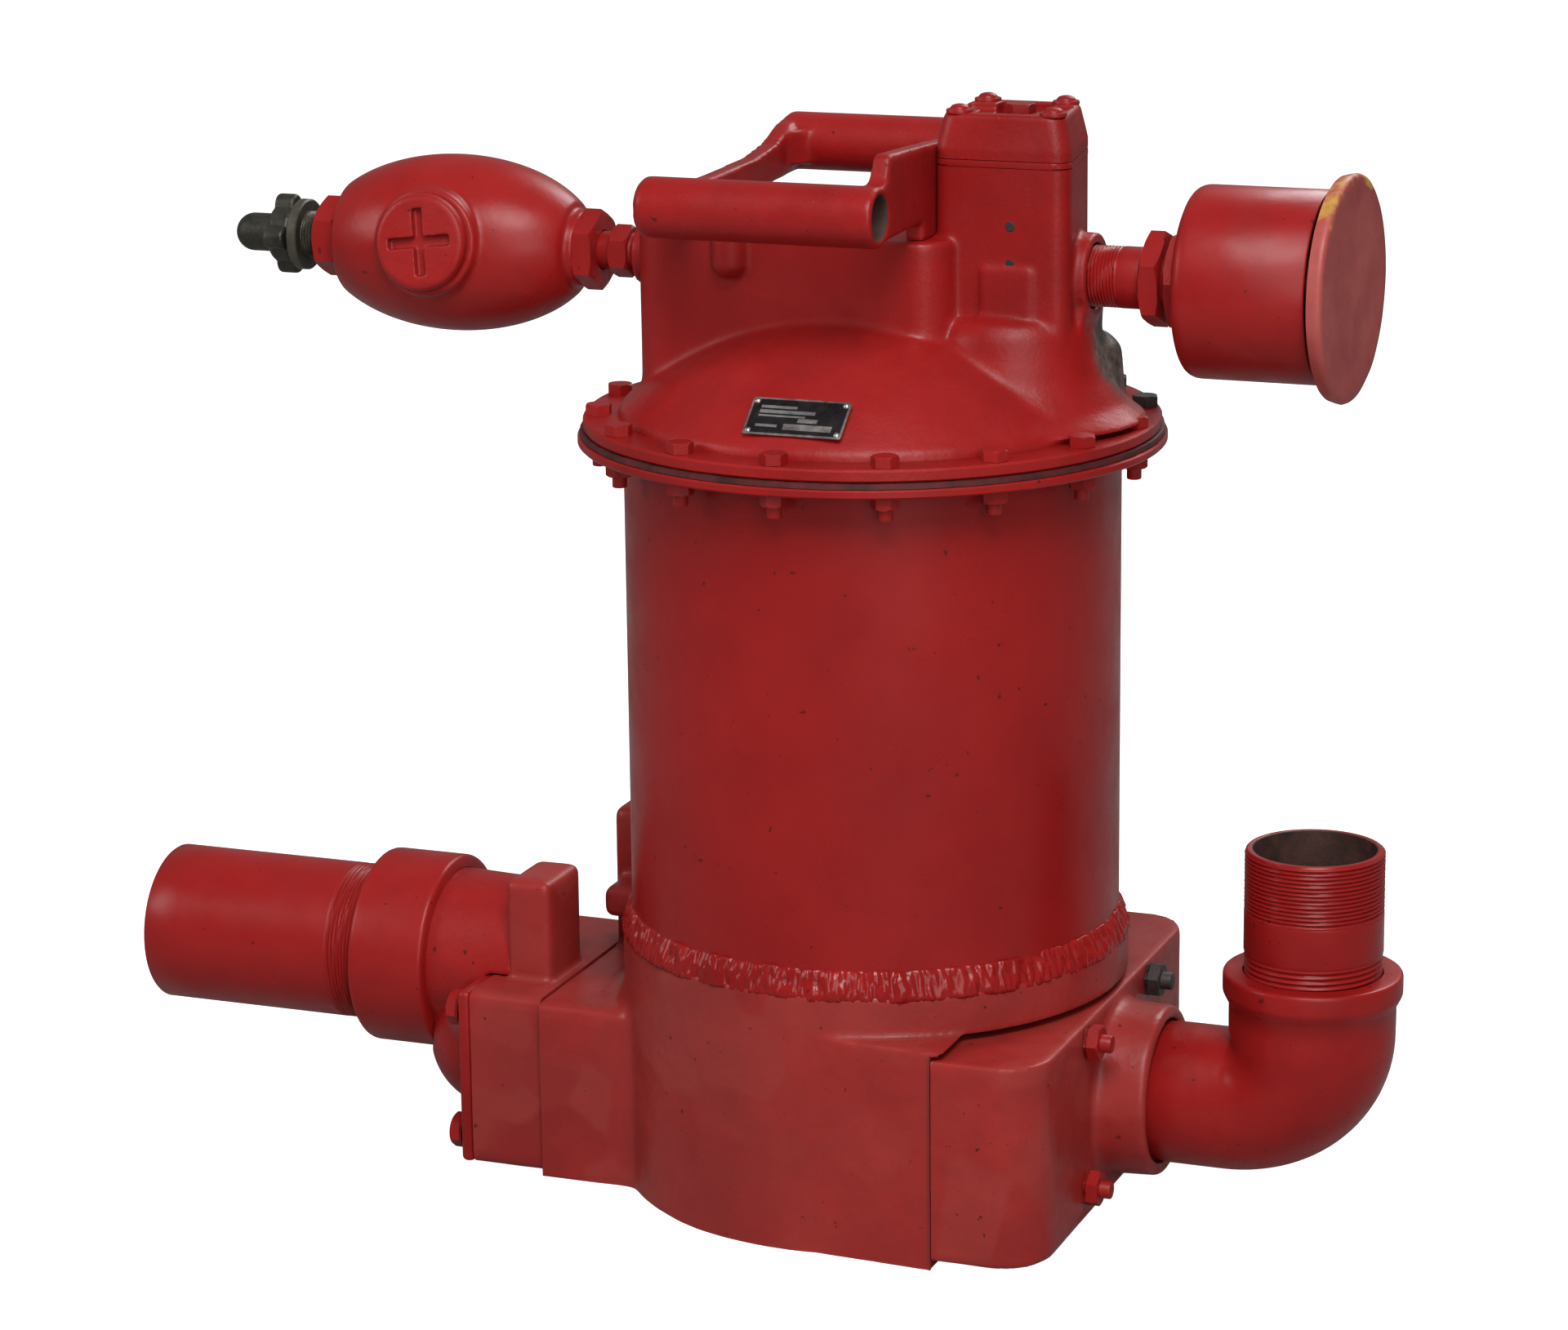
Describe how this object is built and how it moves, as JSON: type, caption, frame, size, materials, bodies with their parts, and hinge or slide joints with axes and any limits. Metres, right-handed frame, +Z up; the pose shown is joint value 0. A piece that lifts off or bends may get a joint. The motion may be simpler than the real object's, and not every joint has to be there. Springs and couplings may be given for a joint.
{
  "type": "air-operated sludge pump",
  "caption": "Air-operated sludge pump: welded tank on a cast base with a check valve on each side, and a cast cover with a handle frame, air-line lubricator and exhaust silencer.",
  "frame": {"origin": "on the base's flat underside, under the tank's axis", "axes": "+Z up along the tank's axis; +X from the suction pipe to the discharge pipe; -Y is the side with the nameplate and the filler plug"},
  "size_m": [0.7447, 0.323, 0.6108],
  "materials": {
    "cast_red": "semi-gloss paint on a sand casting",
    "tube_red": "gloss paint on smooth tube",
    "bolt_red": "painted over with the body",
    "lid_red": "thin faded paint with yellow wear",
    "blackened_steel": "oiled dark casting",
    "plate_black": "black plate with a bare border",
    "rubber": "matt",
    "bright_steel": "bare steel"
  },
  "bodies": {
    "pump": {"base_casting": "cast_red", "cover_casting": "cast_red", "cover_gasket": "rubber", "discharge_bolt_1": "bolt_red", "discharge_bolt_2": "bolt_red", "discharge_bolt_3": "bolt_red", "discharge_bolt_4": "bolt_red", "discharge_cover": "cast_red", "discharge_elbow": "cast_red", "discharge_nipple": "tube_red", "exhaust_locknut": "bolt_red", "exhaust_nipple": "tube_red", "flange_bolt_01": "bolt_red", "flange_bolt_02": "bolt_red", "flange_bolt_03": "bolt_red", "flange_bolt_04": "bolt_red", "flange_bolt_05": "bolt_red", "flange_bolt_06": "bolt_red", "flange_bolt_07": "bolt_red", "flange_bolt_08": "bolt_red", "flange_bolt_09": "bolt_red", "flange_bolt_10": "bolt_red", "flange_bolt_11": "bolt_red", "flange_bolt_12": "bolt_red", "flange_bolt_13": "bolt_red", "flange_bolt_14": "bolt_red", "flange_bolt_15": "bolt_red", "flange_bolt_16": "bolt_red", "handle_frame": "cast_red", "hose_spud": "blackened_steel", "lubricator_body": "cast_red", "lubricator_nipple": "bolt_red", "nameplate": "plate_black", "silencer_can": "cast_red", "silencer_lid": "lid_red", "suction_bolt_1": "bolt_red", "suction_bolt_2": "bolt_red", "suction_bolt_3": "bolt_red", "suction_bolt_4": "bolt_red", "suction_collar": "cast_red", "suction_cover": "cast_red", "suction_seat": "cast_red", "suction_sleeve": "tube_red", "tank_flange": "tube_red", "tank_shell": "tube_red", "tank_weld_bead": "cast_red", "valve_cover": "cast_red", "valve_cover_plug": "bolt_red", "valve_cover_screw_1": "bolt_red", "valve_cover_screw_2": "bolt_red", "valve_cover_screw_3": "bolt_red", "valve_cover_screw_4": "bolt_red", "valve_gasket": "cast_red"},
    "discharge_flap": {"discharge_flap": "rubber"},
    "filler_plug": {"filler_plug": "cast_red"},
    "float": {"float": "bright_steel"},
    "pilot_rod": {"pilot_rod": "bright_steel"},
    "suction_flap": {"suction_flap": "rubber"},
    "wing_nut": {"wing_nut": "blackened_steel"}
  },
  "joints": [
    {"name": "suction_flap_hinge", "type": "hinge", "parent": "pump", "child": "suction_flap", "pos_m": [-0.1685, 0, 0.0935], "axis": [0, -1, 0], "range_deg": [0, 50]},
    {"name": "discharge_flap_hinge", "type": "hinge", "parent": "pump", "child": "discharge_flap", "pos_m": [0.0868, 0, 0.1045], "axis": [0, -1, 0], "range_deg": [0, 30]},
    {"name": "pilot_rod_slide", "type": "slide", "parent": "pump", "child": "pilot_rod", "axis": [0, 0, 1], "range_m": [-0.004, 0.004]},
    {"name": "float_slide", "type": "slide", "parent": "pilot_rod", "child": "float", "axis": [0, 0, 1], "range_m": [0, 0.12]},
    {"name": "filler_plug_turn", "type": "hinge", "parent": "pump", "child": "filler_plug", "pos_m": [-0.244, 0, 0.5183], "axis": [0, -0.9877, 0.1564], "continuous": true},
    {"name": "wing_nut_turn", "type": "hinge", "parent": "pump", "child": "wing_nut", "pos_m": [-0.352, 0, 0.5183], "axis": [1, 0, 0], "continuous": true}
  ]
}
